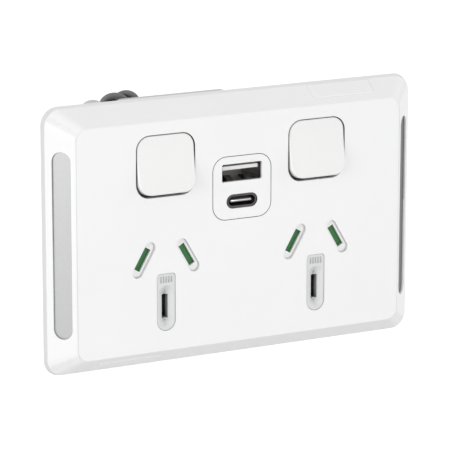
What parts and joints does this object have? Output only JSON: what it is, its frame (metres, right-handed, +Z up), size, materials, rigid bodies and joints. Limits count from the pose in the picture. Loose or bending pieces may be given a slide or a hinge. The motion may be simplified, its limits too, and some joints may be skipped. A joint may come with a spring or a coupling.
{
  "type": "usb wall socket",
  "caption": "White switched wall socket with USB ports between its rockers, grey strips in the side bevels and green safety shutters.",
  "frame": {"origin": "centre of the plate on the wall plane, midway between the mounting screw holes", "axes": "+X right as seen from the front, +Y into the wall, +Z up"},
  "size_m": [0.116, 0.0545, 0.0768],
  "materials": {
    "cover_white": "smooth satin moulding",
    "rocker_white": "smooth satin moulding",
    "bezel_white": "smooth satin moulding",
    "strip_grey": "satin",
    "earth_grey": "satin",
    "shutter_green": "satin",
    "housing_pale": "matte moulding",
    "frame_white": "matte moulding",
    "contact_brass": "bright pressed strip",
    "steel": "bright plated",
    "port_steel": "bright plated",
    "tongue_white": "matte",
    "tongue_grey": "matte",
    "board_green": "glass board with solder mask",
    "core_dark": "matte",
    "can_dark": "sleeved can",
    "lead_grey": "soft insulation",
    "grommet_dark": "soft"
  },
  "bodies": {
    "base": {"cover_plate": "cover_white", "left_side_strip": "strip_grey", "right_side_strip": "strip_grey", "mounting_frame": "frame_white", "front_housing": "housing_pale", "rear_housing": "housing_pale", "active_bar": "contact_brass", "neutral_bar": "contact_brass", "earth_bar": "contact_brass", "left_active_contact": "contact_brass", "right_active_contact": "contact_brass", "left_earth_insert": "earth_grey", "right_earth_insert": "earth_grey", "terminal_screws": "steel", "usb_bezel": "bezel_white", "usb_a_shell": "port_steel", "usb_a_tongue": "tongue_white", "usb_c_shell": "port_steel", "usb_c_tongue": "tongue_grey", "circuit_board": "board_green", "transformer": "core_dark", "mains_capacitor": "can_dark", "output_capacitor": "can_dark", "controller_chip": "core_dark", "first_lead": "lead_grey", "second_lead": "lead_grey", "lead_grommet": "grommet_dark", "left_shutter_spring": "steel", "right_shutter_spring": "steel"},
    "left_rocker_body": {"left_rocker": "rocker_white", "left_plunger_spring": "steel"},
    "left_plunger_body": {"left_plunger": "housing_pale"},
    "left_arm_body": {"left_switch_arm": "contact_brass"},
    "left_shutter_body": {"left_shutter": "shutter_green"},
    "right_rocker_body": {"right_rocker": "rocker_white", "right_plunger_spring": "steel"},
    "right_plunger_body": {"right_plunger": "housing_pale"},
    "right_arm_body": {"right_switch_arm": "contact_brass"},
    "right_shutter_body": {"right_shutter": "shutter_green"}
  },
  "joints": [
    {"name": "left_rocker_tilt", "type": "hinge", "parent": "base", "child": "left_rocker_body", "pos_m": [-0.0238, -0.005, 0.0205], "axis": [1, 0, 0], "range_deg": [0, 16]},
    {"name": "left_plunger_slide", "type": "slide", "parent": "left_rocker_body", "child": "left_plunger_body", "axis": [0, -0.9903, 0.1392], "range_m": [0, 0.0008], "stiffness_N_per_m": 150, "deforming": ["left_plunger_spring"]},
    {"name": "left_arm_tilt", "type": "hinge", "parent": "base", "child": "left_arm_body", "pos_m": [-0.0238, 0.00535, 0.0205], "axis": [1, 0, 0], "range_deg": [-12, 0]},
    {"name": "left_shutter_slide", "type": "slide", "parent": "base", "child": "left_shutter_body", "axis": [1, 0, 0], "range_m": [0, 0.0026], "stiffness_N_per_m": 60, "deforming": ["left_shutter_spring"]},
    {"name": "right_rocker_tilt", "type": "hinge", "parent": "base", "child": "right_rocker_body", "pos_m": [0.0238, -0.005, 0.0205], "axis": [1, 0, 0], "range_deg": [0, 16]},
    {"name": "right_plunger_slide", "type": "slide", "parent": "right_rocker_body", "child": "right_plunger_body", "axis": [0, -0.9903, 0.1392], "range_m": [0, 0.0008], "stiffness_N_per_m": 150, "deforming": ["right_plunger_spring"]},
    {"name": "right_arm_tilt", "type": "hinge", "parent": "base", "child": "right_arm_body", "pos_m": [0.0238, 0.00535, 0.0205], "axis": [1, 0, 0], "range_deg": [-12, 0]},
    {"name": "right_shutter_slide", "type": "slide", "parent": "base", "child": "right_shutter_body", "axis": [-1, 0, 0], "range_m": [0, 0.0026], "stiffness_N_per_m": 60, "deforming": ["right_shutter_spring"]}
  ],
  "couplings": [
    {"joint": "left_arm_tilt", "follows": "left_rocker_tilt", "ratio": -0.75},
    {"joint": "right_arm_tilt", "follows": "right_rocker_tilt", "ratio": -0.75}
  ]
}
